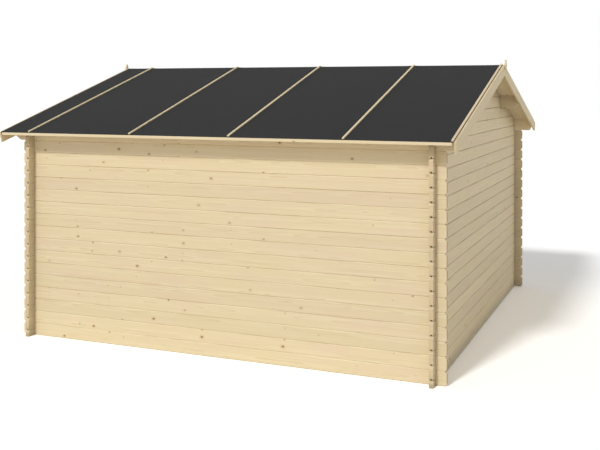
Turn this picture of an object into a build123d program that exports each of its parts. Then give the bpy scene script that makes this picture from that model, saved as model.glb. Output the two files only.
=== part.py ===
from build123d import *
from math import cos, radians, sin, tan
import os

# Garden shed of interlocking logs, in millimetres.
# +X runs along the ridge, +Z is up, and the origin is the middle of the footprint on the ground.
# The plain long wall is the rear one, at -Y, and the wall with the door is the front one, at +Y.

# Walls
LENGTH = 3800  # along the ridge, over the outer faces of the two gable walls
DEPTH = 3800  # across the ridge, over the outer faces of the two long walls
LOG_THICK = 34
COURSE = 112  # what one log adds to the height of a wall
WALL_COURSES = 16  # full courses under the eave log
EAVE_LOG_HIGH = 118  # at its outer face, under the roof boards
LOG_END = 84  # how far a log runs on past the outer face of the wall that it crosses
EDGE_CHAMFER = 5
END_BEVEL = 18
TONGUE_WIDE = 10
TONGUE_HIGH = 8
TONGUE_PLAY = 0.3  # on each side of a tongue
GROOVE_SPARE = 6  # how much deeper a groove is than its tongue
NOTCH_PLAY = 0.5  # on each side of a log in the notch that crosses it

# Roof
PITCH = 16.45
EAVE_OVERHANG = 184  # from the outer face of a long wall to the end of the roof boards
GABLE_OVERHANG = 184  # from the outer face of a gable wall to the inner face of its bargeboards
DECK_THICK = 19
DECK_END_GAP = 16  # from the ends of the roof boards and fascias to the bargeboards
FELT_THICK = 3
PURLIN_WIDE = 44
PURLIN_HIGH = 140
PURLIN_CUT = 54  # the slanting cut under each end of a purlin
EAVE_CUTS = {"rear": (62, 44), "front": (16, 34)}  # along and up, under each end of an eave log
BATTEN_WIDE = 18
BATTEN_HIGH = 10
BATTEN_END_GAP = 12  # from the eave edge of the felt up to the end of a batten
BATTEN_STEPS = (304, 1056, 945, 993)  # from the left end of the roof, batten by batten
EDGE_BATTEN_INSET = 14  # from the right end of the roof to the middle of the batten along it
BARGE_THICK = 18
BARGE_WIDE = 98
FASCIA_THICK = 18
FASCIA_HIGH = 24
FINIAL_WIDE = 50
FINIAL_HIGH = 104
FINIAL_THICK = 18

# Door in the front wall
DOOR_WIDE = 1500  # clear width between the jambs
JAMB_WIDE = 45
JAMB_PROUD = 13  # how far the frame stands out of each face of the wall
CHANNEL_DEEP = 15  # how far the logs run into the jambs
THRESHOLD_HIGH = 30
DOOR_PLAY = 4  # all round each leaf
LEAF_THICK = 20
LEDGE_HIGH = 95
LEDGE_THICK = 20
LEDGE_INSET = 12  # from the edge of a leaf to the end of its ledges
LEDGE_RISE = 190  # from the end of a leaf to the middle of its outer ledges
HINGE_REACH = 330
HINGE_HIGH = 34
HINGE_THICK = 3
HANDLE_PLATE = (38, 165, 3)
HANDLE_RISE = 960
LEVER_LONG = 115
LEVER_RADIUS = 8
LEVER_OUT = 42
LEVER_INSET = 34  # from the meeting edge of a leaf to the spindle

# Worked out from the sizes above
SLOPE = tan(radians(PITCH))
WALL_X = (LENGTH - LOG_THICK) / 2
WALL_Y = (DEPTH - LOG_THICK) / 2
ROOM_X = LENGTH / 2 - LOG_THICK
ROOM_Y = DEPTH / 2 - LOG_THICK
END_X = LENGTH / 2 + LOG_END
END_Y = DEPTH / 2 + LOG_END
NOTCH_HIGH = COURSE + COURSE / 2
EAVE_LOG_FOOT = WALL_COURSES * COURSE
EAVE_TOP = EAVE_LOG_FOOT + EAVE_LOG_HIGH
SOFFIT_RIDGE = EAVE_TOP + DEPTH / 2 * SLOPE
ROOF_X = LENGTH / 2 + GABLE_OVERHANG
DECK_X = ROOF_X - DECK_END_GAP
DECK_Y = DEPTH / 2 + EAVE_OVERHANG
ROOF_Y = DECK_Y + FASCIA_THICK
DECK_RISE = DECK_THICK / cos(radians(PITCH))
FELT_RISE = FELT_THICK / cos(radians(PITCH))
BATTEN_RISE = BATTEN_HIGH / cos(radians(PITCH))
BARGE_RISE = BARGE_WIDE / cos(radians(PITCH))
BARGE_END_Y = ROOF_Y - BARGE_WIDE * sin(radians(PITCH))
DECK_RIDGE = SOFFIT_RIDGE + DECK_RISE
FELT_RIDGE = DECK_RIDGE + FELT_RISE
BATTEN_RIDGE = FELT_RIDGE + BATTEN_RISE
PURLIN_Y = DEPTH / 4
PURLIN_FOOT = SOFFIT_RIDGE - (PURLIN_Y - PURLIN_WIDE / 2) * SLOPE - PURLIN_HIGH
RIDGE_PURLIN_FOOT = SOFFIT_RIDGE - PURLIN_HIGH
PURLINS = {
    "rear": (-PURLIN_Y, PURLIN_FOOT),
    "ridge": (0, RIDGE_PURLIN_FOOT),
    "front": (PURLIN_Y, PURLIN_FOOT),
}
LEAF_WIDE = (DOOR_WIDE - 3 * DOOR_PLAY) / 2
LEAF_FOOT = THRESHOLD_HIGH + DOOR_PLAY
HEAD_FOOT = EAVE_LOG_FOOT - JAMB_WIDE
LEAF_HIGH = HEAD_FOOT - DOOR_PLAY - LEAF_FOOT
FRAME_FACE = DEPTH / 2 + JAMB_PROUD
FRAME_DEEP = LOG_THICK + 2 * JAMB_PROUD

SIDES = (("rear", -1), ("front", 1))
ENDS = (("left", -1), ("right", 1))

os.makedirs("parts", exist_ok=True)


def save(piece, name):
    piece.part.label = name
    export_step(piece.part, f"parts/{name}.step")


def log_sections(feet, across, height=COURSE):
    """Cross-sections of logs that stand on the heights in feet, chamfered outside and grooved below."""
    with Locations(*[(across, foot + height / 2) for foot in feet]):
        blanks = Rectangle(LOG_THICK, height)
    outermost = -1 if across > 0 else 0
    chamfer(blanks.vertices().group_by(Axis.X)[outermost], length=EDGE_CHAMFER)
    with Locations(*[(across, foot) for foot in feet if foot > 0]):
        Rectangle(
            TONGUE_WIDE + 2 * TONGUE_PLAY,
            TONGUE_HIGH + GROOVE_SPARE,
            align=(Align.CENTER, Align.MIN),
            mode=Mode.SUBTRACT,
        )


def tongue_sections(tops, across):
    """Cross-sections of the tongues on the tops of logs, which stop short of the crossing walls."""
    with Locations(*[(across, top) for top in tops]):
        Rectangle(TONGUE_WIDE, TONGUE_HIGH, align=(Align.CENTER, Align.MIN))


def corner_notches(gap_middles, across):
    """Notches over both crossing walls, each from the quarter of one log to the quarter of the next."""
    with Locations(*[(side * across, middle) for side in (-1, 1) for middle in gap_middles]):
        Rectangle(LOG_THICK + 2 * NOTCH_PLAY, NOTCH_HIGH)


def end_bevels(joints, reach):
    """Square notches on their corners, which bevel the log ends above and below each joint."""
    with Locations(*[(side * reach, joint) for side in (-1, 1) for joint in joints]):
        RegularPolygon(END_BEVEL, 4)


def slope_band(low, high, reach, inner=0.0):
    """One side of the roof in section, between two heights at the ridge, from inner out to reach."""
    Polygon(
        (inner, low - inner * SLOPE),
        (inner, high - inner * SLOPE),
        (reach, high - reach * SLOPE),
        (reach, low - reach * SLOPE),
        align=None,
    )


def roof_space(top):
    """All that is above the underside of the roof boards, in section."""
    Polygon(
        (0, SOFFIT_RIDGE),
        (ROOF_Y, SOFFIT_RIDGE - ROOF_Y * SLOPE),
        (ROOF_Y, top),
        (-ROOF_Y, top),
        (-ROOF_Y, SOFFIT_RIDGE - ROOF_Y * SLOPE),
        align=None,
    )


ABOVE_ALL = BATTEN_RIDGE + COURSE


# Long walls: every second log shares a node, so that the logs of a node never touch
for side, sign in SIDES:
    for first, parity in ((0, "even"), (1, "odd")):
        courses = range(first, WALL_COURSES, 2)
        with BuildPart() as wall:
            with BuildSketch(Plane.YZ.offset(-END_X)):
                log_sections([course * COURSE for course in courses], sign * WALL_Y)
            extrude(amount=2 * END_X)
            with BuildSketch(Plane.YZ.offset(-ROOM_X)):
                tongue_sections([(course + 1) * COURSE for course in courses], sign * WALL_Y)
            extrude(amount=2 * ROOM_X)
            with BuildSketch(Plane.XZ.offset(-sign * WALL_Y)):
                gaps = [(course - 0.5) * COURSE for course in (*courses, courses[-1] + 2)]
                corner_notches(gaps, WALL_X)
                end_bevels([course * COURSE for course in range(WALL_COURSES + 1)], END_X)
            extrude(amount=LOG_THICK, both=True, mode=Mode.SUBTRACT)
            if side == "front":
                with BuildSketch(Plane.XY):
                    with Locations((0, WALL_Y)):
                        Rectangle(DOOR_WIDE + 2 * (JAMB_WIDE - CHANNEL_DEEP), 2 * LOG_THICK)
                extrude(amount=EAVE_LOG_FOOT + TONGUE_HIGH, mode=Mode.SUBTRACT)
        save(wall, f"{side}_wall_{parity}_logs")

# Eave logs: they run out to the bargeboards, and their tops are planed to the roof's pitch
for side, sign in SIDES:
    with BuildPart() as eave_log:
        with BuildSketch(Plane.YZ.offset(-ROOF_X)):
            log_sections([EAVE_LOG_FOOT], sign * WALL_Y, height=EAVE_LOG_HIGH + LOG_THICK)
        extrude(amount=2 * ROOF_X)
        with BuildSketch(Plane.YZ.offset(-ROOF_X)):
            roof_space(ABOVE_ALL)
        extrude(amount=2 * ROOF_X, mode=Mode.SUBTRACT)
        with BuildSketch(Plane.XZ.offset(-sign * WALL_Y)):
            corner_notches([EAVE_LOG_FOOT - COURSE / 2, EAVE_LOG_FOOT + NOTCH_HIGH], WALL_X)
            for end, way in ENDS:
                Polygon(
                    (way * ROOF_X, EAVE_LOG_FOOT),
                    (way * ROOF_X, EAVE_LOG_FOOT + EAVE_CUTS[side][1]),
                    (way * (ROOF_X - EAVE_CUTS[side][0]), EAVE_LOG_FOOT),
                    align=None,
                )
        extrude(amount=LOG_THICK, both=True, mode=Mode.SUBTRACT)
    save(eave_log, f"{side}_eave_log")

# Gable walls: they start with half a log, and their top logs are cut to the roof's pitch
GABLE_COURSES = int(SOFFIT_RIDGE / COURSE + 0.5) + 1
for end, way in ENDS:
    for first, parity in ((0, "even"), (1, "odd")):
        courses = range(first, GABLE_COURSES, 2)
        with BuildPart() as gable:
            with BuildSketch(Plane.XZ.offset(-END_Y)):
                if first == 0:
                    log_sections([0], way * WALL_X, height=COURSE / 2)
                log_sections([(course - 0.5) * COURSE for course in courses if course], way * WALL_X)
            extrude(amount=2 * END_Y)
            with BuildSketch(Plane.XZ.offset(-ROOM_Y)):
                tongue_sections([(course + 0.5) * COURSE for course in courses], way * WALL_X)
            extrude(amount=2 * ROOM_Y)
            with BuildSketch(Plane.YZ.offset(way * WALL_X)):
                roof_space(ABOVE_ALL)
                walled = [course for course in courses if course <= WALL_COURSES + 1]
                corner_notches([(course + 1) * COURSE for course in (walled[0] - 2, *walled)], WALL_Y)
                end_bevels([(course + 0.5) * COURSE for course in range(WALL_COURSES + 1)], END_Y)
                for across, foot in PURLINS.values():
                    with Locations((across, foot)):
                        Rectangle(
                            PURLIN_WIDE + 2 * NOTCH_PLAY,
                            ABOVE_ALL - foot,
                            align=(Align.CENTER, Align.MIN),
                        )
            extrude(amount=LOG_THICK, both=True, mode=Mode.SUBTRACT)
        save(gable, f"{end}_gable_{parity}_logs")

# Purlins: they lie in slots of the gable walls and run out to the bargeboards
for place, (across, foot) in PURLINS.items():
    with BuildPart() as purlin:
        with BuildSketch(Plane.YZ.offset(-ROOF_X)):
            with Locations((across, foot)):
                Rectangle(PURLIN_WIDE, PURLIN_HIGH + COURSE, align=(Align.CENTER, Align.MIN))
        extrude(amount=2 * ROOF_X)
        with BuildSketch(Plane.YZ.offset(-ROOF_X)):
            roof_space(ABOVE_ALL + COURSE)
        extrude(amount=2 * ROOF_X, mode=Mode.SUBTRACT)
        lower_ends = purlin.edges().filter_by(Axis.Y).group_by(Axis.Z)[0]
        chamfer(lower_ends, length=PURLIN_CUT)
    save(purlin, f"{place}_purlin")

# Roof boards and felt, one sheet of each to a side
for side, sign in SIDES:
    for name, low, high, reach, end_x in (
        ("roof_deck", SOFFIT_RIDGE, DECK_RIDGE, DECK_Y, DECK_X),
        ("roof_felt", DECK_RIDGE, FELT_RIDGE, ROOF_Y, ROOF_X),
    ):
        with BuildPart() as sheet:
            with BuildSketch(Plane.YZ.offset(-end_x)):
                slope_band(low, high, reach)
            extrude(amount=2 * end_x)
            if sign < 0:
                mirror(about=Plane.XZ, mode=Mode.REPLACE)
        save(sheet, f"{side}_{name}")

# Battens that hold the felt down: four on each side of the roof, and one along its right edge
batten_middles = [sum(BATTEN_STEPS[:count]) - ROOF_X for count in range(1, len(BATTEN_STEPS) + 1)]
batten_middles.append(ROOF_X - EDGE_BATTEN_INSET)
for side, sign in SIDES:
    with BuildPart() as battens:
        for middle in batten_middles:
            with BuildSketch(Plane.YZ.offset(middle - BATTEN_WIDE / 2)):
                slope_band(FELT_RIDGE, BATTEN_RIDGE, ROOF_Y - BATTEN_END_GAP)
            extrude(amount=BATTEN_WIDE)
        if sign < 0:
            mirror(about=Plane.XZ, mode=Mode.REPLACE)
    save(battens, f"{side}_roof_battens")

# Bargeboards: flush with the felt, square-cut at the eaves, and with a plumb joint under the ridge
for side, sign in SIDES:
    for end, way in ENDS:
        with BuildPart() as barge:
            with BuildSketch(Plane.YZ.offset(ROOF_X)):
                Polygon(
                    (0, FELT_RIDGE - BARGE_RISE),
                    (0, FELT_RIDGE),
                    (ROOF_Y, FELT_RIDGE - ROOF_Y * SLOPE),
                    (BARGE_END_Y, FELT_RIDGE - BARGE_RISE - BARGE_END_Y * SLOPE),
                    align=None,
                )
            extrude(amount=BARGE_THICK)
            if sign < 0:
                mirror(about=Plane.XZ, mode=Mode.REPLACE)
            if way < 0:
                mirror(about=Plane.YZ, mode=Mode.REPLACE)
        save(barge, f"{side}_{end}_bargeboard")

# Finials: a diamond over the joint of each pair of bargeboards
for end, way in ENDS:
    with BuildPart() as finial:
        with BuildSketch(Plane.YZ.offset(ROOF_X + BARGE_THICK)):
            Polygon(
                (0, FELT_RIDGE - FINIAL_HIGH / 2),
                (FINIAL_WIDE / 2, FELT_RIDGE),
                (0, FELT_RIDGE + FINIAL_HIGH / 2),
                (-FINIAL_WIDE / 2, FELT_RIDGE),
                align=None,
            )
        extrude(amount=FINIAL_THICK)
        if way < 0:
            mirror(about=Plane.YZ, mode=Mode.REPLACE)
    save(finial, f"{end}_gable_finial")

# Eave fascias: narrow strips on the ends of the roof boards, under the edge of the felt
for side, sign in SIDES:
    with BuildPart() as fascia:
        with BuildSketch(Plane.YZ.offset(-DECK_X)):
            slope_band(DECK_RIDGE - FASCIA_HIGH, DECK_RIDGE, ROOF_Y, inner=DECK_Y)
        extrude(amount=2 * DECK_X)
        if sign < 0:
            mirror(about=Plane.XZ, mode=Mode.REPLACE)
    save(fascia, f"{side}_eave_fascia")

# Door frame: the jambs take the ends of the cut logs in a channel
for end, way in ENDS:
    with BuildPart() as jamb:
        with BuildSketch(Plane.XY):
            with Locations((way * (DOOR_WIDE + JAMB_WIDE) / 2, WALL_Y)):
                Rectangle(JAMB_WIDE, FRAME_DEEP)
            with Locations((way * (DOOR_WIDE / 2 + JAMB_WIDE - CHANNEL_DEEP / 2), WALL_Y)):
                Rectangle(CHANNEL_DEEP, LOG_THICK, mode=Mode.SUBTRACT)
        extrude(amount=EAVE_LOG_FOOT)
    save(jamb, f"{end}_door_jamb")

for name, foot, height in (
    ("door_threshold", 0, THRESHOLD_HIGH),
    ("door_head", HEAD_FOOT, JAMB_WIDE),
):
    with BuildPart() as rail:
        with BuildSketch(Plane.XY.offset(foot)):
            with Locations((0, WALL_Y)):
                Rectangle(DOOR_WIDE, FRAME_DEEP)
        extrude(amount=height)
    save(rail, name)

# Door leaves: boards outside, three ledges inside
ledge_middles = (LEAF_FOOT + LEDGE_RISE, LEAF_FOOT + LEAF_HIGH / 2, LEAF_FOOT + LEAF_HIGH - LEDGE_RISE)
for end, way in ENDS:
    leaf_x = way * (LEAF_WIDE + DOOR_PLAY) / 2
    with BuildPart() as leaf:
        with BuildSketch(Plane.XZ.offset(-FRAME_FACE)):
            with Locations((leaf_x, LEAF_FOOT)):
                Rectangle(LEAF_WIDE, LEAF_HIGH, align=(Align.CENTER, Align.MIN))
        extrude(amount=LEAF_THICK)
        with BuildSketch(Plane.XZ.offset(LEAF_THICK - FRAME_FACE)):
            with Locations(*[(leaf_x, middle) for middle in ledge_middles]):
                Rectangle(LEAF_WIDE - 2 * LEDGE_INSET, LEDGE_HIGH)
        extrude(amount=LEDGE_THICK)
    save(leaf, f"{end}_door_leaf")

# Strap hinges on the outer faces of the jambs and leaves, and a lever handle
with BuildPart() as hinges:
    with BuildSketch(Plane.XZ.offset(-FRAME_FACE)):
        for end, way in ENDS:
            strap_x = way * (DOOR_WIDE / 2 + JAMB_WIDE / 2 - HINGE_REACH / 2)
            with Locations((strap_x, ledge_middles[0]), (strap_x, ledge_middles[2])):
                Rectangle(HINGE_REACH, HINGE_HIGH)
    extrude(amount=-HINGE_THICK)
save(hinges, "door_hinges")

with BuildPart() as handle:
    with BuildSketch(Plane.XZ.offset(-FRAME_FACE)):
        with Locations((DOOR_PLAY / 2 + LEVER_INSET, HANDLE_RISE)):
            Rectangle(HANDLE_PLATE[0], HANDLE_PLATE[1])
    extrude(amount=-HANDLE_PLATE[2])
    with BuildSketch(Plane.XZ.offset(-FRAME_FACE)):
        with Locations((DOOR_PLAY / 2 + LEVER_INSET, HANDLE_RISE)):
            Circle(LEVER_RADIUS)
    extrude(amount=-LEVER_OUT)
    with BuildSketch(Plane.YZ.offset(DOOR_PLAY / 2 + LEVER_INSET)):
        with Locations((FRAME_FACE + LEVER_OUT, HANDLE_RISE)):
            Circle(LEVER_RADIUS)
    extrude(amount=LEVER_LONG)
save(handle, "door_handle")
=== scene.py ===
import math

import bmesh
import bpy
from mathutils import Matrix, Vector


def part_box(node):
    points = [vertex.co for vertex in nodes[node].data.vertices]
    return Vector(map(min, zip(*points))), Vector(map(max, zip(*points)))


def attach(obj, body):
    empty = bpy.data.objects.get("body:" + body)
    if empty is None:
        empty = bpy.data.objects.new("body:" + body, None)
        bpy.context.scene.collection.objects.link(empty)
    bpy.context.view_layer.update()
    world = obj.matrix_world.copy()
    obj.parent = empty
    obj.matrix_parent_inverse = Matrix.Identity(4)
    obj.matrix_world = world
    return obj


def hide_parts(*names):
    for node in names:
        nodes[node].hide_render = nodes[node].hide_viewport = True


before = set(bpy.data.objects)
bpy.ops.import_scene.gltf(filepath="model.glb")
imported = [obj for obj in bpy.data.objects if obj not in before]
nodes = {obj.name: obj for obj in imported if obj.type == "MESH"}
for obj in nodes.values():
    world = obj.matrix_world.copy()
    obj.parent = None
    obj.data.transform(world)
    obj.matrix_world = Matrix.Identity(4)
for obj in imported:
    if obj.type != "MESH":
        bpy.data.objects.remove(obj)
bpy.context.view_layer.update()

# Garden shed of interlocking logs, in metres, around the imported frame.
# The plain long wall is at -Y, the wall with the door at +Y, and the ridge runs along X.

scene = bpy.context.scene
SIDES = {"rear": -1, "front": 1}  # with the direction along Y
ENDS = {"left": -1, "right": 1}  # with the direction along X
PARITIES = ("even", "odd")
ALONG_X = (1.0, 0.0, 0.0)
ALONG_Y = (0.0, 1.0, 0.0)
ALONG_Z = (0.0, 0.0, 1.0)

# Sizes that the boxes of the frame don't give

PITCH = math.radians(16.45)
SLOPE = math.tan(PITCH)
DOWN_SLOPE = (0.0, math.cos(PITCH), -math.sin(PITCH))
OFF_SLOPE = (0.0, math.sin(PITCH), math.cos(PITCH))
COURSE = 0.112  # height of one log
ROOF_BOARD = 0.096  # width of one roof board
BOARD_BEVEL = 0.004
BOARD_PLAY = 0.0002  # left free on either side of a board
SPAN_APART = 0.05  # pieces of one node lie further apart than this
BEVEL_SEGMENTS = 2
BLOCK_ROUND = 0.6
ROUND_STEPS = 16

# Rounding of the plain planed pieces
PLANK_ARRIS = 0.0015
POST_ARRIS = 0.002
FINIAL_ARRIS = 0.004
ARRIS_ANGLE = math.radians(30)
WELD_APART = 0.00002

# Felt
FELT_THIN = 0.002
LAP_BEFORE = 0.060  # from the middle of a batten to the visible edge of the upper strip
LAP_AFTER = 0.045
LAP_FALL = 0.035

# Nails and screws
NAIL_RADIUS = 0.0045
NAIL_HIGH = 0.0012
NAIL_STEP = 0.30
SCREW_RADIUS = 0.0045
SCREW_HIGH = 0.0014
HEAD_PROFILE = ((1.0, -1.0), (1.0, 0.4), (0.8, 0.85), (0.3, 1.0))  # shares of radius and height

# Door leaves
DOOR_BOARD_COUNT = 8
DOOR_BOARD_THICK = 0.020
LEDGE_THICK = 0.020
LEDGE_HIGH = 0.095
LEDGE_INSET = 0.012  # from the edge of the leaf
LEDGE_RISE = 0.190  # from the foot or head of the leaf to the middle of the ledge
LEDGE_BEVEL = 0.003
LEDGE_SCREW_ASIDE = 0.018
LEDGE_SCREW_RISE = 0.024

# Strap hinges. The outline of a strap is given from its far end: metres along it, and the share of
# half its height.
HINGE_LONG = 0.330
HINGE_PIN_ASIDE = 0.002  # from the edge of the leaf to the pin
HINGE_PLATE_BEVEL = 0.0008
STRAP_ROOT = 0.95
STRAP_OUTLINE = ((0.06, 0.50), (0.030, 0.50), (0.022, 0.85), (0.012, 0.85), (0.0, 0.0))
STRAP_SCREWS = (0.22, 0.45, 0.68, 0.95)  # shares of the way to the last screw
STRAP_SCREW_INSET = 0.02
PLATE_SCREW_OUT = 0.62  # share of the way from the pin to the edge of the plate
PLATE_SCREW_RISES = (-0.5, 0.5)
PLATE_SCREW_SIZE = 0.8
BARREL_OUT = 0.001  # from the face of the strap to the middle of the barrel
BARREL_RADIUS = 0.0055
BARREL_GROOVE = 0.0047
BARREL_PROFILE = (
    (BARREL_RADIUS, 0.0), (BARREL_RADIUS, 0.32), (BARREL_GROOVE, 0.33), (BARREL_RADIUS, 0.34),
    (BARREL_RADIUS, 0.66), (BARREL_GROOVE, 0.67), (BARREL_RADIUS, 0.68), (BARREL_RADIUS, 1.0),
)

# Lever handle
PLATE_HALF = 0.019
PLATE_THICK = 0.003
PLATE_EDGE = 0.6  # share of the thickness where the rounded rim starts
PLATE_RIM_WIDE = 0.92
PLATE_RIM_HIGH = 0.985
LEVER_RADIUS = 0.008
LEVER_FLAT = 0.8  # thickness of the lever as a share of its height
LEVER_FOOT = 0.010
LEVER_BEND = 0.018
LEVER_BEND_STEPS = 8
LEVER_RUN = (0.35, 0.7, 0.93)  # shares of the way from the bend to the tip
LEVER_TIP = 0.004
LEVER_ROUND = 0.002
LEVER_END_SIZES = (0.98, 0.94, 0.88, 0.70, 0.30)
ROSE_PROFILE = (
    (0.013, PLATE_THICK), (0.013, 0.008), (0.011, 0.010), (LEVER_RADIUS, 0.011), (LEVER_RADIUS, 0.012),
)
HANDLE_SCREW_RISE = 0.068
HANDLE_SCREW_RADIUS = 0.004

# Camera, fitted to the photograph: level, with a shift that looks down
CAMERA_PLACE = (3.5538, -8.6572, 2.2655)
CAMERA_TURN = math.radians(22.325)
CAMERA_LENS = 54.06
CAMERA_SENSOR = 36.0
CAMERA_SHIFT = -0.2269
CAMERA_FAR = 200.0

# Light
SUN_FROM = Vector((-0.21, -1.0, 0.83))
SUN_STRENGTH = 1.64
SUN_ANGLE = math.radians(9.0)
SKY_LOW = 1.00  # at the horizon
SKY_DROP = 0.86  # how much darker it is straight above
WHITE = (1.0, 1.0, 1.0, 1.0)

# Floor
FLOOR_SEEN = 1.42  # how white the floor is to the camera alone
FLOOR_REACH = 60.0
FLOOR_DARK = (0.84, 0.84, 0.83, 1.0)
FLOOR_PALE = (0.86, 0.86, 0.85, 1.0)
FLOOR_PATCHES = 0.7

# Wood colours
SPRUCE = (0.795, 0.668, 0.425, 1.0)
SPRUCE_PINK = (0.785, 0.612, 0.450, 1.0)
SPRUCE_LATE = (0.605, 0.418, 0.202, 1.0)
SPRUCE_PALE = (0.855, 0.755, 0.530, 1.0)
SPRUCE_JOINT = (0.240, 0.155, 0.075, 1.0)
# painted highlight of sunlight on the top chamfer of each log
SPRUCE_HIGHLIGHT = (0.950, 0.850, 0.580, 1.0)
KNOT_HEART = (0.360, 0.195, 0.085, 1.0)
KNOT_EDGE = (0.190, 0.098, 0.045, 1.0)
KNOT_HALO = (0.560, 0.330, 0.150, 1.0)
END_TINT = (0.86, 0.83, 0.80, 1.0)
# end grain of the long-wall logs, darkened further with painted shade of the shaded corners
LOG_END_TINT_AND_SHADE = (0.64, 0.62, 0.54, 1.0)

# Numbers that tell one board's random pattern from the next
BOARD_SEED = 7.31
SIDE_SEED = 41.3
KNOT_SEED = 1.93

# Growth rings
PITH_ASIDE = 0.7  # how far the pith may be aside, as a share of the board's width
PITH_DEEP = 0.03
PITH_DEEP_MORE = 0.05
RING_WIDE = 0.0042
RING_LATE = 2.5  # the higher, the thinner the dark part of a ring
RING_DRIFT = 0.030
RING_DRIFT_ALONG = 0.8

# How often each pattern changes per metre, along a board and across it
FIBRE_ALONG, FIBRE_ACROSS = 6.0, 420.0
PATCH_ALONG, PATCH_ACROSS = 1.4, 6.0
STREAK_ALONG, STREAK_ACROSS = 0.9, 45.0
JOINT_ALONG = 1.7
UNEVEN_DETAIL = 3.0  # of the noise behind the drift of the rings and the uneven joints

# Each spread below has the two values between which it changes, and what it gives at either one
PATCH_SHARE = (0.42, 0.70, 0.0, 0.50)
STREAK_SHARE = (0.45, 0.75, 0.0, 0.45)
FIBRE_SHARE = (0.35, 0.70, 0.0, 0.10)
LATE_SHARE = 0.30
END_FACING = (0.85, 0.97, 0.0, 1.0)
JOINT_UNDER = (0.455, 0.490, 0.0)  # in courses from the middle of the log
# where the painted highlight lies above a joint, and how uneven it is
HIGHLIGHT_OVER_JOINT = (0.448, 0.478, 0.0, 1.0)
HIGHLIGHT_UNEVEN = (0.40, 0.62, 0.0, 1.0)
JOINT_DARK = (0.35, 0.60, 0.6, 1.0)

# Knots, in cells of this size that may each hold one, and in radii from the middle of the knot
KNOT_APART_LONG = 0.155
KNOT_APART_WIDE = 0.110
KNOT_RADIUS = (0.0, 1.0, 0.020, 0.070)
KNOT_STRENGTH = (0.0, 0.8, 0.35, 1.0)
KNOT_SWIRL = (0.0, 5.0, 0.006, 0.0)
HALO_SHARE = (1.0, 3.2, 0.45, 0.0)
HEART_SHARE = (0.85, 1.15, 0.92, 0.0)
RIM_SHARE = (0.45, 0.95, 1.0, 0.0)

# Tone and surface of the wood
KNOTTY = 0.20  # share of the cells with a knot
GABLE_KNOTTY = 0.07
# paler eave logs: painted light that lifts their shade under the overhang
EAVE_LIGHT_TONE = 1.10
# darker purlins: painted shade under the roof overhang
PURLIN_SHADE_TONE = 0.86
BATTEN_TONE = 1.12
WALL_JOINT = 0.60  # how dark the joints are
GABLE_JOINT = 0.80
FRONT_CORNER_SHADE = 0.50  # how dark the painted corner shade is
GABLE_CORNER_SHADE = 0.60
BOARD_TONE = 0.96
BOARD_TONE_RANGE = 0.08
CORNER_SHADE_REACH = 0.15
CORNER_SHADE_SAMPLES = 4
LATE_RELIEF = -0.5
FIBRE_RELIEF = 0.8
GRAIN_BUMP = 0.25
GRAIN_DEEP = 0.0008
WOOD_ROUGH = 0.55
WOOD_ROUGH_RANGE = 0.15
WOOD_SPECULAR = 0.30

# Felt and ironwork
FELT_DARK = (0.015, 0.015, 0.015, 1.0)
FELT_PALE = (0.031, 0.031, 0.031, 1.0)
FELT_CLOUD = (0.026, 0.026, 0.026, 1.0)
FELT_GRAINS = 650.0
FELT_GRAIN_SHARE = (0.1, 1.0, 0.0, 1.0)
FELT_CLOUDS = 1.6
FELT_CLOUD_DETAIL = 4.0
FELT_CLOUD_SHARE = (0.35, 0.70, 0.0, 0.30)
FELT_BUMP = 0.6
FELT_DEEP = 0.0010
FELT_ROUGH = 0.92
FELT_SPECULAR = 0.25
METAL_MOTTLE = 60.0
METAL_MOTTLE_DETAIL = 4.0
METAL_MOTTLE_SHARE = (0.35, 0.65, 0.0, 1.0)
METAL_DENTS = 380.0
METAL_BUMP = 0.25
METAL_DEEP = 0.0006
METAL_ROUGH_RANGE = 0.15
METAL_ROUGH_FROM, METAL_ROUGH_TO = 0.3, 0.7
IRON_DARK = (0.020, 0.020, 0.021, 1.0)
IRON_PALE = (0.034, 0.034, 0.035, 1.0)
IRON_ROUGH, IRON_METALLIC = 0.42, 0.6
ZINC_DARK = (0.42, 0.42, 0.43, 1.0)
ZINC_PALE = (0.58, 0.58, 0.58, 1.0)
ZINC_ROUGH, ZINC_METALLIC = 0.38, 0.9


# Shader helpers

class Shading:
    """Short calls that add shader nodes to a node tree."""

    def __init__(self, tree):
        self.tree = tree

    def put(self, socket, value):
        if isinstance(value, bpy.types.NodeSocket):
            self.tree.links.new(value, socket)
        else:
            socket.default_value = value

    def add(self, kind, inputs, **settings):
        node = self.tree.nodes.new("ShaderNode" + kind)
        for name, value in settings.items():
            setattr(node, name, value)
        for name, value in inputs.items():
            self.put(node.inputs[name], value)
        return node

    def sum(self, operation, first, second=0.0, third=0.0):
        return self.add("Math", {0: first, 1: second, 2: third}, operation=operation).outputs[0]

    def dot(self, vector, direction):
        node = self.add("VectorMath", {0: vector, 1: direction}, operation="DOT_PRODUCT")
        return node.outputs["Value"]

    def vector(self, x, y, z):
        return self.add("CombineXYZ", {0: x, 1: y, 2: z}).outputs[0]

    def parts(self, colour):
        return self.add("SeparateColor", {0: colour}).outputs

    def noise(self, vector, scale=1.0, detail=2.0):
        return self.add("TexNoise", {"Vector": vector, "Scale": scale, "Detail": detail}).outputs[0]

    def spread(self, value, low, high, start, end):
        """Smooth change from start to end as value goes from low to high."""
        inputs = {"Value": value, "From Min": low, "From Max": high, "To Min": start, "To Max": end}
        return self.add("MapRange", inputs, interpolation_type="SMOOTHSTEP").outputs[0]

    def mix(self, share, first, second, blend="MIX"):
        node = self.add("Mix", {0: share, 6: first, 7: second}, data_type="RGBA", blend_type=blend)
        return node.outputs[2]

    def times(self, colour, level):
        grey = self.add("CombineColor", {0: level, 1: level, 2: level}).outputs[0]
        return self.mix(1.0, colour, grey, "MULTIPLY")

    def direct_rays(self):
        """1 for rays from the camera, from a reflection and through glass, and 0 for the others."""
        rays = self.add("LightPath", {}).outputs
        direct = self.sum("MAXIMUM", rays["Is Camera Ray"], rays["Is Glossy Ray"])
        return self.sum("MAXIMUM", direct, rays["Is Transmission Ray"])


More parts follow.
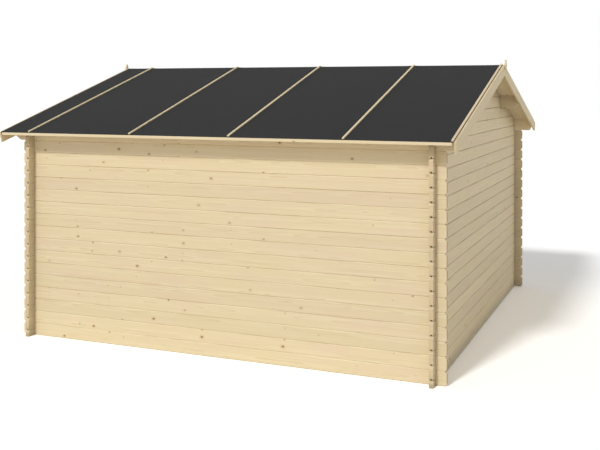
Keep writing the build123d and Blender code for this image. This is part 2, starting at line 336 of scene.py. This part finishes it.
class Surface(Shading):
    """One material."""

    def __init__(self, name):
        self.material = bpy.data.materials.new(name)
        self.material.use_nodes = True
        super().__init__(self.material.node_tree)
        self.shader = self.tree.nodes["Principled BSDF"]

    def object_place(self):
        return self.add("TexCoord", {}).outputs["Object"]

    def bump(self, height, strength, distance):
        node = self.add("Bump", {"Height": height, "Strength": strength, "Distance": distance})
        self.put(self.shader.inputs["Normal"], node.outputs[0])


# Wood

class Wood(Surface):
    """Planed spruce in boards: along the grain, stacked at a pitch, and mirrored through the middle."""

    def __init__(self, name, along, stack, through, start, pitch, middle, folded):
        super().__init__(name)
        self.along = along
        self.pitch = pitch
        self.folded = folded
        spot = self.fold(self.object_place())
        height = self.sum("DIVIDE", self.sum("SUBTRACT", self.dot(spot, stack), start), pitch)
        board = self.sum("FLOOR", height)
        inside = self.sum("SUBTRACT", self.sum("SUBTRACT", height, board), 0.5)
        deep = self.dot(spot, through)
        board_seed = self.sum("MULTIPLY", board, BOARD_SEED)
        self.length = self.dot(spot, along)
        self.width = self.sum("MULTIPLY", inside, pitch)
        self.depth = self.sum("SUBTRACT", self.sum("ABSOLUTE", deep), middle)
        self.seed = self.sum("MULTIPLY_ADD", self.sum("SIGN", deep), SIDE_SEED, board_seed)
        chance = self.add("TexWhiteNoise", {"W": self.seed}, noise_dimensions="1D").outputs
        self.pick = self.parts(chance["Color"])
        self.colour = SPRUCE

    def fold(self, vector):
        """Where the boards of one slope mirror those of the other, both give the same vector."""
        if not self.folded:
            return vector
        apart = self.add("SeparateXYZ", {0: vector}).outputs
        return self.vector(apart[0], self.sum("ABSOLUTE", apart[1]), apart[2])

    def tint(self, share, colour):
        self.colour = self.mix(share, self.colour, colour)

    def place_knots(self, knotty):
        """Distance from the nearest knot in knot radii, and how strong the knot is."""
        along = self.sum("MULTIPLY_ADD", self.seed, KNOT_SEED, self.length)
        spot = self.vector(
            self.sum("DIVIDE", along, KNOT_APART_LONG),
            self.sum("DIVIDE", self.width, KNOT_APART_WIDE),
            self.seed,
        )
        cells = self.add("TexVoronoi", {"Vector": spot, "Scale": 1.0}, voronoi_dimensions="2D")
        chance = self.parts(cells.outputs["Color"])
        there = self.sum("GREATER_THAN", chance[0], 1.0 - knotty)
        self.there = self.sum("MULTIPLY", there, self.spread(chance[2], *KNOT_STRENGTH))
        self.away = self.sum("DIVIDE", cells.outputs["Distance"], self.spread(chance[1], *KNOT_RADIUS))

    def grow_rings(self):
        """Growth rings round a pith that lies outside the board and wanders along it."""
        pith_aside = self.sum("SUBTRACT", self.pick[0], 0.5)
        pith_aside = self.sum("MULTIPLY", pith_aside, self.pitch * PITH_ASIDE)
        aside = self.sum("SUBTRACT", self.width, pith_aside)
        deep = self.sum("ADD", self.depth, self.sum("MULTIPLY_ADD", self.pick[1], PITH_DEEP_MORE, PITH_DEEP))
        around = self.sum("MULTIPLY_ADD", aside, aside, self.sum("MULTIPLY", deep, deep))
        swirl = self.sum("MULTIPLY", self.spread(self.away, *KNOT_SWIRL), self.there)
        around = self.sum("ADD", self.sum("SQRT", around), swirl)
        spot = self.vector(self.sum("MULTIPLY", self.length, RING_DRIFT_ALONG), self.seed, self.width)
        around = self.sum("MULTIPLY_ADD", self.noise(spot, detail=UNEVEN_DETAIL), RING_DRIFT, around)
        ring = self.sum("FRACT", self.sum("DIVIDE", around, RING_WIDE))
        self.late = self.sum("POWER", ring, RING_LATE)

    def draw_grain(self):
        """Fine fibre, soft patches and pale streaks."""
        across = self.sum("MULTIPLY", self.width, FIBRE_ACROSS)
        through = self.sum("MULTIPLY", self.depth, FIBRE_ACROSS)
        self.fibre = self.noise(self.vector(self.run(FIBRE_ALONG), across, through))
        across = self.sum("MULTIPLY", self.width, PATCH_ACROSS)
        patch = self.noise(self.vector(self.run(PATCH_ALONG), self.seed, across))
        across = self.sum("MULTIPLY", self.width, STREAK_ACROSS)
        streak = self.noise(self.vector(self.run(STREAK_ALONG), across, self.seed))
        self.tint(self.spread(patch, *PATCH_SHARE), SPRUCE_PINK)
        self.tint(self.spread(streak, *STREAK_SHARE), SPRUCE_PALE)
        self.tint(self.sum("MULTIPLY", self.late, LATE_SHARE), SPRUCE_LATE)
        self.tint(self.spread(self.fibre, *FIBRE_SHARE), SPRUCE_LATE)

    def run(self, changes):
        """Place along the board for a pattern with this many changes per metre."""
        return self.sum("MULTIPLY_ADD", self.length, changes, self.seed)

    def draw_knots(self):
        """A dark rim, a brown heart and a warm halo that runs out of the knot."""
        halo = self.sum("MULTIPLY", self.spread(self.away, *HALO_SHARE), self.there)
        heart = self.sum("MULTIPLY", self.spread(self.away, *HEART_SHARE), self.there)
        rim = self.sum("MULTIPLY", self.spread(self.away, *RIM_SHARE), heart)
        self.tint(halo, KNOT_HALO)
        self.tint(heart, self.mix(rim, KNOT_EDGE, KNOT_HEART))

    def draw_joints_and_highlights(self, joint):
        """Darker on the edge under a joint, and a painted highlight of sunlight on the edge above it."""
        rise = self.sum("DIVIDE", self.width, self.pitch)
        spot = self.vector(self.sum("MULTIPLY", self.length, JOINT_ALONG), self.seed, 0.0)
        uneven = self.noise(spot, detail=UNEVEN_DETAIL)
        under = self.spread(self.sum("MULTIPLY", rise, -1.0), *JOINT_UNDER, joint)
        highlight_band = self.spread(rise, *HIGHLIGHT_OVER_JOINT)
        dark = self.sum("MULTIPLY", under, self.spread(uneven, *JOINT_DARK))
        painted_highlight = self.sum("MULTIPLY", highlight_band, self.spread(uneven, *HIGHLIGHT_UNEVEN))
        self.tint(dark, SPRUCE_JOINT)
        self.tint(painted_highlight, SPRUCE_HIGHLIGHT)

    def tone_boards(self, tone, end_tint_and_shade):
        """A tone for each board, and another for its end grain, which on the long-wall logs also carries
        painted shade.
        """
        level = BOARD_TONE * tone - BOARD_TONE_RANGE / 2
        shade = self.sum("MULTIPLY_ADD", self.pick[2], BOARD_TONE_RANGE, level)
        self.colour = self.times(self.colour, shade)
        facing = self.fold(self.add("NewGeometry", {}).outputs["True Normal"])
        cut = self.spread(self.sum("ABSOLUTE", self.dot(facing, self.along)), *END_FACING)
        self.tint(cut, self.mix(1.0, self.colour, end_tint_and_shade, "MULTIPLY"))

    def paint_corner_shade(self, corner_shade):
        """Painted shade: darker where other pieces are near."""
        near = self.add("AmbientOcclusion", {"Distance": CORNER_SHADE_REACH}, samples=CORNER_SHADE_SAMPLES)
        level = self.sum("MULTIPLY_ADD", near.outputs["AO"], corner_shade, 1.0 - corner_shade)
        self.colour = self.times(self.colour, level)

    def finish(self):
        relief = self.sum("MULTIPLY", self.fibre, FIBRE_RELIEF)
        self.bump(self.sum("MULTIPLY_ADD", self.late, LATE_RELIEF, relief), GRAIN_BUMP, GRAIN_DEEP)
        rough = self.sum("MULTIPLY_ADD", self.fibre, WOOD_ROUGH_RANGE, WOOD_ROUGH)
        self.put(self.shader.inputs["Base Color"], self.colour)
        self.put(self.shader.inputs["Roughness"], rough)
        self.put(self.shader.inputs["Specular IOR Level"], WOOD_SPECULAR)


def wood(
    name, along, stack, through, start, pitch, middle, folded=False,
    tone=1.0, knotty=KNOTTY, joint=0.0, end_tint_and_shade=END_TINT, corner_shade=0.0,
):
    surface = Wood(name, along, stack, through, start, pitch, middle, folded)
    surface.place_knots(knotty)
    surface.grow_rings()
    surface.draw_grain()
    surface.draw_knots()
    if joint:
        surface.draw_joints_and_highlights(joint)
    surface.tone_boards(tone, end_tint_and_shade)
    # painted shade in corners and recesses
    if corner_shade:
        surface.paint_corner_shade(corner_shade)
    surface.finish()
    return surface.material


# Felt and ironwork

def felt_material():
    """Bitumen felt with mineral granules."""
    surface = Surface("roofing_felt")
    spot = surface.object_place()
    grains = surface.add("TexVoronoi", {"Vector": spot, "Scale": FELT_GRAINS})
    grain = surface.parts(grains.outputs["Color"])[0]
    cloud = surface.noise(spot, FELT_CLOUDS, FELT_CLOUD_DETAIL)
    colour = surface.mix(surface.spread(grain, *FELT_GRAIN_SHARE), FELT_DARK, FELT_PALE)
    colour = surface.mix(surface.spread(cloud, *FELT_CLOUD_SHARE), colour, FELT_CLOUD)
    surface.bump(grain, FELT_BUMP, FELT_DEEP)
    surface.put(surface.shader.inputs["Base Color"], colour)
    surface.put(surface.shader.inputs["Roughness"], FELT_ROUGH)
    surface.put(surface.shader.inputs["Specular IOR Level"], FELT_SPECULAR)
    return surface.material


def metal(name, dark, pale, roughness, metallic):
    """Metal with slight mottling and small dents."""
    surface = Surface(name)
    spot = surface.object_place()
    mottle = surface.noise(spot, METAL_MOTTLE, METAL_MOTTLE_DETAIL)
    colour = surface.mix(surface.spread(mottle, *METAL_MOTTLE_SHARE), dark, pale)
    rough = surface.spread(
        mottle, METAL_ROUGH_FROM, METAL_ROUGH_TO, roughness, roughness + METAL_ROUGH_RANGE
    )
    surface.bump(surface.noise(spot, METAL_DENTS), METAL_BUMP, METAL_DEEP)
    surface.put(surface.shader.inputs["Base Color"], colour)
    surface.put(surface.shader.inputs["Roughness"], rough)
    surface.put(surface.shader.inputs["Metallic"], metallic)
    return surface.material


# Places read from the frame

deck_low, deck_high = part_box("rear_roof_deck")
felt_low, felt_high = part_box("rear_roof_felt")
batten_low, batten_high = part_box("rear_roof_battens")
barge_low, barge_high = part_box("rear_right_bargeboard")
wall_low, wall_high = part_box("rear_wall_even_logs")
gable_low, gable_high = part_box("right_gable_even_logs")
ROOF_X = felt_high.x
DECK_X = deck_high.x
DECK_Y = -deck_low.y
FELT_Y = -felt_low.y
DECK_RIDGE = deck_high.z
SOFFIT_RIDGE = deck_low.z + DECK_Y * SLOPE
FELT_RIDGE = felt_high.z
BATTEN_RIDGE = batten_high.z
BATTEN_Y = -batten_low.y
WALL_Y = -(wall_low.y + wall_high.y) / 2
WALL_X = (gable_low.x + gable_high.x) / 2
BARGE_X = (barge_low.x + barge_high.x) / 2


def separate_spans(obj, axis):
    """Lowest and highest place along an axis of each group of vertices of a node."""
    values = sorted(vertex.co[axis] for vertex in obj.data.vertices)
    spans = [[values[0], values[0]]]
    for value in values:
        if value - spans[-1][0] > SPAN_APART:
            spans.append([value, value])
        spans[-1][1] = value
    return spans


batten_middles = [sum(span) / 2 for span in separate_spans(nodes["rear_roof_battens"], 0)]

# Stacks of boards for the pattern of the wood: where a stack starts, its pitch, and how far from the
# shed's middle the boards lie
PURLIN_FOOT, PURLIN_PITCH, PURLIN_AWAY = 0.1, 0.9, 0.95
ROOF_BOARD_AWAY, BATTEN_AWAY = 2.37, 2.4
BATTEN_PITCH = 0.2
WHOLE_PITCH = 4.0  # wider than the piece, which is then a single board
UPRIGHT_PITCH, CROSS_PITCH = 0.093, 0.30

# How the boards of each wood lie: along the grain, stacked in a direction, and through the thickness,
# then the start, the pitch and the distance from the middle
LONG_WALL = (ALONG_X, ALONG_Z, ALONG_Y, 0.0, COURSE, WALL_Y)
GABLE_WALL = (ALONG_Y, ALONG_Z, ALONG_X, -COURSE / 2, COURSE, WALL_X)
PURLINS = (ALONG_X, ALONG_Z, ALONG_Y, PURLIN_FOOT, PURLIN_PITCH, PURLIN_AWAY)
ROOF_BOARDS = (DOWN_SLOPE, ALONG_X, OFF_SLOPE, -ROOF_X, ROOF_BOARD, ROOF_BOARD_AWAY)
BATTEN_START = -ROOF_X - BATTEN_PITCH / 2
BATTENS = (DOWN_SLOPE, ALONG_X, OFF_SLOPE, BATTEN_START, BATTEN_PITCH, BATTEN_AWAY)
BARGEBOARDS = (DOWN_SLOPE, OFF_SLOPE, ALONG_X, 0.0, WHOLE_PITCH, BARGE_X)
FASCIAS = (ALONG_X, ALONG_Z, ALONG_Y, 0.0, WHOLE_PITCH, FELT_Y)
DOOR_UPRIGHT = (ALONG_Z, ALONG_X, ALONG_Y, 0.0, UPRIGHT_PITCH, WALL_Y)
DOOR_CROSS = (ALONG_X, ALONG_Z, ALONG_Y, 0.0, CROSS_PITCH, WALL_Y)

# The front wall's logs are a copy of the long-wall wood with painted corner shade; the gables get painted
# corner shade too.
wood_wall = wood("log_wood_long", *LONG_WALL, joint=WALL_JOINT, end_tint_and_shade=LOG_END_TINT_AND_SHADE)
wood_front_shaded = wood(
    "log_wood_front_shaded", *LONG_WALL, joint=WALL_JOINT, end_tint_and_shade=LOG_END_TINT_AND_SHADE, corner_shade=FRONT_CORNER_SHADE
)
wood_eave = wood("eave_log_wood", *LONG_WALL, tone=EAVE_LIGHT_TONE)
wood_gable = wood(
    "log_wood_gable", *GABLE_WALL, knotty=GABLE_KNOTTY, joint=GABLE_JOINT, corner_shade=GABLE_CORNER_SHADE
)
wood_purlin = wood("purlin_wood", *PURLINS, tone=PURLIN_SHADE_TONE)
wood_deck = wood("roof_board_wood", *ROOF_BOARDS, folded=True)
wood_batten = wood("batten_wood", *BATTENS, folded=True, tone=BATTEN_TONE)
wood_barge = wood("bargeboard_wood", *BARGEBOARDS, folded=True)
wood_fascia = wood("fascia_wood", *FASCIAS)
wood_upright = wood("door_wood_upright", *DOOR_UPRIGHT)
wood_cross = wood("door_wood_cross", *DOOR_CROSS)
felt = felt_material()
black_iron = metal("black_ironwork", IRON_DARK, IRON_PALE, IRON_ROUGH, IRON_METALLIC)
zinc = metal("zinc_heads", ZINC_DARK, ZINC_PALE, ZINC_ROUGH, ZINC_METALLIC)


# Dress of the frame's own pieces

def dress(node_names, surface):
    for name in node_names:
        obj = nodes[name]
        obj.data.materials.clear()
        obj.data.materials.append(surface)
        for polygon in obj.data.polygons:
            polygon.material_index = 0


def soften(node_names, width):
    """Rounds the sharp edges of plain planed pieces a little."""
    for name in node_names:
        weld = nodes[name].modifiers.new("weld", "WELD")
        weld.merge_threshold = WELD_APART
        bevel = nodes[name].modifiers.new("arris", "BEVEL")
        bevel.width = width
        bevel.segments = BEVEL_SEGMENTS
        bevel.limit_method = "ANGLE"
        bevel.angle_limit = ARRIS_ANGLE


def dress_walls():
    dress([f"rear_wall_{parity}_logs" for parity in PARITIES], wood_wall)
    dress([f"front_wall_{parity}_logs" for parity in PARITIES], wood_front_shaded)
    dress([f"{end}_gable_{parity}_logs" for end in ENDS for parity in PARITIES], wood_gable)
    dress([f"{side}_eave_log" for side in SIDES], wood_eave)


def dress_roof():
    purlins = ["rear_purlin", "ridge_purlin", "front_purlin"]
    battens = [f"{side}_roof_battens" for side in SIDES]
    finials = [f"{end}_gable_finial" for end in ENDS]
    barges = [f"{side}_{end}_bargeboard" for side in SIDES for end in ENDS]
    fascias = [f"{side}_eave_fascia" for side in SIDES]
    dress(purlins, wood_purlin)
    dress(battens, wood_batten)
    dress(finials, wood_upright)
    dress(barges, wood_barge)
    dress(fascias, wood_fascia)
    soften(purlins, POST_ARRIS)
    soften(barges + fascias + battens, PLANK_ARRIS)
    soften(finials, FINIAL_ARRIS)


def dress_door_frame():
    jambs = ["left_door_jamb", "right_door_jamb"]
    crosspieces = ["door_threshold", "door_head"]
    dress(jambs, wood_upright)
    dress(crosspieces, wood_cross)
    soften(jambs + crosspieces, POST_ARRIS)


# Mesh helpers

def add_piece(name, shape, surface, stands_for=()):
    bmesh.ops.recalc_face_normals(shape, faces=shape.faces)
    mesh = bpy.data.meshes.new(name)
    shape.to_mesh(mesh)
    shape.free()
    mesh.materials.append(surface)
    obj = bpy.data.objects.new(name, mesh)
    scene.collection.objects.link(obj)
    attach(obj, "root")
    if stands_for:
        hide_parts(*stands_for)


def skin(shape, rings):
    """Faces between rings of points, with a face on the first and the last ring."""
    made = [[shape.verts.new(point) for point in ring] for ring in rings]
    for before, after in zip(made, made[1:]):
        for index in range(len(before)):
            following = (index + 1) % len(before)
            shape.faces.new((before[index], before[following], after[following], after[index]))
    shape.faces.new(made[0])
    shape.faces.new(made[-1])


def slope_board(shape, outline, outer, ridge_height, sign):
    """A board from the ridge down one side of the roof, with plumb ends.

    Its outline has places along X and off the slope.
    """
    rings = []
    for away in (0.0, outer):
        height = ridge_height - away * SLOPE
        rings.append([(x, sign * away, height + off / math.cos(PITCH)) for x, off in outline])
    skin(shape, rings)


def block(shape, low, high, bevel):
    """A box between two corners, with its edges bevelled."""
    box = bmesh.new()
    bmesh.ops.create_cube(box, size=1.0)
    middle = (Vector(low) + Vector(high)) / 2
    size = Vector(high) - Vector(low)
    bmesh.ops.scale(box, vec=size, verts=box.verts)
    bmesh.ops.translate(box, vec=middle, verts=box.verts)
    bmesh.ops.bevel(
        box, geom=box.edges, offset=bevel, segments=BEVEL_SEGMENTS, profile=BLOCK_ROUND, affect="EDGES"
    )
    copies = {vertex: shape.verts.new(vertex.co) for vertex in box.verts}
    for face in box.faces:
        shape.faces.new([copies[vertex] for vertex in face.verts])
    box.free()


def circle(steps, start=0.0):
    """Angles that go once round."""
    return [2 * math.pi * (step + start) / steps for step in range(steps)]


def turned(shape, profile, place):
    """A round form from radius and height pairs, about the Z axis of place."""
    skin(shape, [
        [place @ Vector((radius * math.cos(angle), radius * math.sin(angle), height))
         for angle in circle(ROUND_STEPS)]
        for radius, height in profile
    ])


def head(shape, spot, facing, radius, high):
    """The flat domed head of a nail or screw."""
    place = Matrix.Translation(spot) @ Vector(facing).to_track_quat("Z", "Y").to_matrix().to_4x4()
    turned(shape, [(radius * wide, high * rise) for wide, rise in HEAD_PROFILE], place)


# Roof boards, felt and nails

def board_outline(middle, width, thick):
    left, right = middle - width / 2 + BOARD_PLAY, middle + width / 2 - BOARD_PLAY
    return [
        (left, BOARD_BEVEL), (left + BOARD_BEVEL, 0.0), (right - BOARD_BEVEL, 0.0),
        (right, BOARD_BEVEL), (right, thick), (left, thick),
    ]


def roof_boards(side, sign):
    shape = bmesh.new()
    count = round(2 * DECK_X / ROOF_BOARD)
    width = 2 * DECK_X / count
    thick = (DECK_RIDGE - SOFFIT_RIDGE) * math.cos(PITCH)
    for index in range(count):
        outline = board_outline(-DECK_X + (index + 0.5) * width, width, thick)
        slope_board(shape, outline, DECK_Y, SOFFIT_RIDGE, sign)
    add_piece(f"{side}_roof_boards", shape, wood_deck, [f"{side}_roof_deck"])


def felt_outline():
    """The felt's section along the ridge: full thickness at the laps and ends, thinner between."""
    thick = (FELT_RIDGE - DECK_RIDGE) * math.cos(PITCH)
    outline = [
        (-ROOF_X, 0.0),
        (-ROOF_X, thick),
        (-ROOF_X + LAP_BEFORE, thick),
        (-ROOF_X + LAP_BEFORE + LAP_FALL, FELT_THIN),
    ]
    for middle in batten_middles[:-1]:
        outline += [
            (middle - LAP_BEFORE, FELT_THIN),
            (middle - LAP_BEFORE, thick),
            (middle + LAP_AFTER, thick),
            (middle + LAP_AFTER + LAP_FALL, FELT_THIN),
        ]
    outline += [
        (ROOF_X - LAP_BEFORE - LAP_FALL, FELT_THIN),
        (ROOF_X - LAP_BEFORE, thick),
        (ROOF_X, thick),
        (ROOF_X, 0.0),
    ]
    return outline


def felt_sheet(side, sign):
    shape = bmesh.new()
    slope_board(shape, felt_outline(), FELT_Y, DECK_RIDGE, sign)
    add_piece(f"{side}_felt_strips", shape, felt, [f"{side}_roof_felt"])


def batten_nails(side, sign):
    shape = bmesh.new()
    length = BATTEN_Y / math.cos(PITCH)
    count = round(length / NAIL_STEP)
    step = length / count
    for middle in batten_middles:
        for index in range(count):
            away = (index + 0.5) * step * math.cos(PITCH)
            spot = Vector((middle, sign * away, BATTEN_RIDGE - away * SLOPE))
            head(shape, spot, (0.0, sign * OFF_SLOPE[1], OFF_SLOPE[2]), NAIL_RADIUS, NAIL_HIGH)
    add_piece(f"{side}_batten_nails", shape, zinc)


# Door leaves

def leaf_boards(end):
    low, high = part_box(f"{end}_door_leaf")
    width = (high.x - low.x) / DOOR_BOARD_COUNT
    back, bevel = high.y - DOOR_BOARD_THICK, BOARD_BEVEL
    shape = bmesh.new()
    for index in range(DOOR_BOARD_COUNT):
        left = low.x + index * width + BOARD_PLAY
        right = left + width - 2 * BOARD_PLAY
        section = [
            (left, back + bevel), (left, high.y - bevel), (left + bevel, high.y), (right - bevel, high.y),
            (right, high.y - bevel), (right, back + bevel), (right - bevel, back), (left + bevel, back),
        ]
        skin(shape, [[(x, y, height) for x, y in section] for height in (low.z, high.z)])
    add_piece(f"{end}_leaf_boards", shape, wood_upright, [f"{end}_door_leaf"])


def ledge_middles(low, high):
    return low.z + LEDGE_RISE, (low.z + high.z) / 2, high.z - LEDGE_RISE


def leaf_ledges(end):
    low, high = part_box(f"{end}_door_leaf")
    shape = bmesh.new()
    for middle in ledge_middles(low, high):
        corner_low = (low.x + LEDGE_INSET, low.y, middle - LEDGE_HIGH / 2)
        corner_high = (high.x - LEDGE_INSET, low.y + LEDGE_THICK, middle + LEDGE_HIGH / 2)
        block(shape, corner_low, corner_high, LEDGE_BEVEL)
    add_piece(f"{end}_leaf_ledges", shape, wood_cross)


def ledge_screws(end):
    """Two screws through each ledge into each board."""
    low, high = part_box(f"{end}_door_leaf")
    width = (high.x - low.x) / DOOR_BOARD_COUNT
    shape = bmesh.new()
    for middle in ledge_middles(low, high):
        for index in range(DOOR_BOARD_COUNT):
            across = low.x + (index + 0.5) * width
            for way in (-1, 1):
                spot = (across + way * LEDGE_SCREW_ASIDE, low.y, middle + way * LEDGE_SCREW_RISE)
                head(shape, spot, (0, -1, 0), SCREW_RADIUS, SCREW_HIGH)
    add_piece(f"{end}_ledge_screws", shape, zinc)


# Strap hinges

def hinge_places():
    """The side of each hinge, the X of its plate's edge, pin and far end, its middle and half height."""
    low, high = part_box("door_hinges")
    for end, way in ENDS.items():
        leaf_low, leaf_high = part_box(f"{end}_door_leaf")
        pin_x = way * (max(abs(leaf_low.x), abs(leaf_high.x)) + HINGE_PIN_ASIDE)
        outer = way * high.x
        for bottom, top in separate_spans(nodes["door_hinges"], 2):
            yield way, outer, pin_x, outer - way * HINGE_LONG, (bottom + top) / 2, (top - bottom) / 2


def strap_hinges():
    low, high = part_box("door_hinges")
    shape = bmesh.new()
    for way, outer, pin_x, far, middle, half in hinge_places():
        strap = [(pin_x, half * STRAP_ROOT)]
        strap += [(far + way * along, half * share) for along, share in STRAP_OUTLINE]
        points = strap + [(x, -z) for x, z in reversed(strap[:-1])]
        skin(shape, [[(x, y, middle + z) for x, z in points] for y in (low.y, high.y)])
        corner_low = (min(pin_x, outer), low.y, middle - half)
        corner_high = (max(pin_x, outer), high.y, middle + half)
        block(shape, corner_low, corner_high, HINGE_PLATE_BEVEL)
        place = Matrix.Translation((pin_x, high.y + BARREL_OUT, middle - half))
        turned(shape, [(radius, 2 * half * share) for radius, share in BARREL_PROFILE], place)
    add_piece("strap_hinges", shape, black_iron, ["door_hinges"])


def hinge_screws():
    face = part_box("door_hinges")[1].y
    shape = bmesh.new()
    for way, outer, pin_x, far, middle, half in hinge_places():
        for share in STRAP_SCREWS:
            spot = (pin_x + (far + way * STRAP_SCREW_INSET - pin_x) * share, face, middle)
            head(shape, spot, (0, 1, 0), SCREW_RADIUS, SCREW_HIGH)
        for rise in PLATE_SCREW_RISES:
            spot = (pin_x + way * abs(outer - pin_x) * PLATE_SCREW_OUT, face, middle + half * rise)
            head(shape, spot, (0, 1, 0), SCREW_RADIUS * PLATE_SCREW_SIZE, SCREW_HIGH)
    add_piece("hinge_screws", shape, zinc)


# Lever handle

def handle_place():
    """The X of the spindle, the Y of the door's face and the Z of the middle."""
    low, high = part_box("door_handle")
    return low.x + PLATE_HALF, low.y, (low.z + high.z) / 2


def handle_plate(shape):
    """A long plate with round ends and a rounded rim."""
    low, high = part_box("door_handle")
    spindle_x, face, centre_z = handle_place()
    rise = (high.z - low.z) / 2 - PLATE_HALF
    outline = [
        (spindle_x + PLATE_HALF * math.cos(angle),
         centre_z + math.copysign(rise, math.sin(angle)) + PLATE_HALF * math.sin(angle))
        for angle in circle(2 * ROUND_STEPS, 0.5)
    ]
    rim = [
        (spindle_x + (x - spindle_x) * PLATE_RIM_WIDE, centre_z + (z - centre_z) * PLATE_RIM_HIGH)
        for x, z in outline
    ]
    skin(shape, [
        [(x, face, z) for x, z in outline],
        [(x, face + PLATE_THICK * PLATE_EDGE, z) for x, z in outline],
        [(x, face + PLATE_THICK, z) for x, z in rim],
    ])


def lever_path():
    """Places along the lever and away from the door, as it leaves the plate and turns aside."""
    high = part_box("door_handle")[1]
    spindle_x, face = handle_place()[:2]
    out = high.y - LEVER_RADIUS - face
    length = high.x - spindle_x
    path = [(0.0, LEVER_FOOT), (0.0, out - LEVER_BEND)]
    for step in range(1, LEVER_BEND_STEPS + 1):
        angle = math.pi / 2 * step / LEVER_BEND_STEPS
        along = LEVER_BEND * (1 - math.cos(angle))
        path.append((along, out - LEVER_BEND + LEVER_BEND * math.sin(angle)))
    path += [(LEVER_BEND + (length - LEVER_BEND - LEVER_TIP) * share, out) for share in LEVER_RUN]
    path += [(length - LEVER_ROUND, out), (length, out)]
    return path


def lever(shape):
    """An oval bar along the path, which tapers to its rounded end."""
    spindle_x, face, centre_z = handle_place()
    path = lever_path()
    sizes = [1.0] * (len(path) - len(LEVER_END_SIZES)) + list(LEVER_END_SIZES)
    rings = []
    for index, (along, away) in enumerate(path):
        before, after = path[max(index - 1, 0)], path[min(index + 1, len(path) - 1)]
        run = Vector((after[0] - before[0], after[1] - before[1], 0)).normalized()
        side = Vector((run.y, -run.x, 0))
        radius = LEVER_RADIUS * sizes[index]
        ring = []
        for angle in circle(ROUND_STEPS):
            offset = side * math.cos(angle) * radius * LEVER_FLAT
            x, y = spindle_x + along + offset.x, face + away + offset.y
            ring.append((x, y, centre_z + math.sin(angle) * radius))
        rings.append(ring)
    skin(shape, rings)


def lever_handle():
    shape = bmesh.new()
    handle_plate(shape)
    outward = Matrix.Translation(handle_place()) @ Matrix.Rotation(-math.pi / 2, 4, "X")
    turned(shape, ROSE_PROFILE, outward)
    lever(shape)
    add_piece("lever_handle", shape, black_iron, ["door_handle"])


def handle_screws():
    spindle_x, face, centre_z = handle_place()
    shape = bmesh.new()
    for rise in (-HANDLE_SCREW_RISE, HANDLE_SCREW_RISE):
        spot = (spindle_x, face + PLATE_THICK, centre_z + rise)
        head(shape, spot, (0, 1, 0), HANDLE_SCREW_RADIUS, SCREW_HIGH)
    add_piece("handle_screws", shape, zinc)


# Floor, light and camera

def floor_material():
    """Pale, and white to the camera, so that only the shadow shows."""
    surface = Surface("floor")
    surface.tree.nodes.remove(surface.shader)
    cloud = surface.noise(surface.object_place(), FLOOR_PATCHES)
    tint = surface.mix(cloud, FLOOR_DARK, FLOOR_PALE)
    plain = surface.add("BsdfDiffuse", {"Color": tint}).outputs[0]
    seen = surface.add("BsdfDiffuse", {"Color": (FLOOR_SEEN, FLOOR_SEEN, FLOOR_SEEN, 1.0)}).outputs[0]
    both = surface.add("MixShader", {0: surface.direct_rays(), 1: plain, 2: seen}).outputs[0]
    surface.put(surface.tree.nodes["Material Output"].inputs["Surface"], both)
    return surface.material


def floor():
    shape = bmesh.new()
    bmesh.ops.create_grid(shape, x_segments=1, y_segments=1, size=FLOOR_REACH)
    mesh = bpy.data.meshes.new("floor")
    shape.to_mesh(mesh)
    shape.free()
    mesh.materials.append(floor_material())
    obj = bpy.data.objects.new("floor", mesh)
    scene.collection.objects.link(obj)


def sky():
    """White to the camera. Its light is strongest at the horizon and weakest straight above."""
    world = bpy.data.worlds.new("studio")
    world.use_nodes = True
    scene.world = world
    shading = Shading(world.node_tree)
    way = shading.add("TexCoord", {}).outputs["Generated"]
    rise = shading.add("SeparateXYZ", {0: way}).outputs[2]
    dimming = shading.add("MapRange", {"Value": rise, "To Min": SKY_LOW, "To Max": SKY_LOW - SKY_DROP})
    lit = world.node_tree.nodes["Background"]
    shading.put(lit.inputs["Color"], WHITE)
    shading.put(lit.inputs["Strength"], dimming.outputs[0])
    white = shading.add("Background", {"Color": WHITE, "Strength": 1.0})
    sides = {0: shading.direct_rays(), 1: lit.outputs[0], 2: white.outputs[0]}
    both = shading.add("MixShader", sides).outputs[0]
    shading.put(world.node_tree.nodes["World Output"].inputs["Surface"], both)


def sun():
    lamp = bpy.data.lights.new("sun", "SUN")
    lamp.energy = SUN_STRENGTH
    lamp.angle = SUN_ANGLE
    obj = bpy.data.objects.new("sun", lamp)
    obj.rotation_mode = "QUATERNION"
    obj.rotation_quaternion = SUN_FROM.to_track_quat("Z", "Y")
    scene.collection.objects.link(obj)


def camera():
    data = bpy.data.cameras.new("camera")
    data.sensor_width = CAMERA_SENSOR
    data.lens = CAMERA_LENS
    data.shift_y = CAMERA_SHIFT
    data.clip_end = CAMERA_FAR
    obj = bpy.data.objects.new("camera", data)
    obj.location = CAMERA_PLACE
    obj.rotation_euler = (math.pi / 2, 0.0, CAMERA_TURN)
    scene.collection.objects.link(obj)
    scene.camera = obj


dress_walls()
dress_roof()
dress_door_frame()
for side, sign in SIDES.items():
    roof_boards(side, sign)
    felt_sheet(side, sign)
    batten_nails(side, sign)
for end in ENDS:
    leaf_boards(end)
    leaf_ledges(end)
    ledge_screws(end)
strap_hinges()
hinge_screws()
lever_handle()
handle_screws()
floor()
sky()
sun()
camera()
scene.view_settings.view_transform = "Standard"
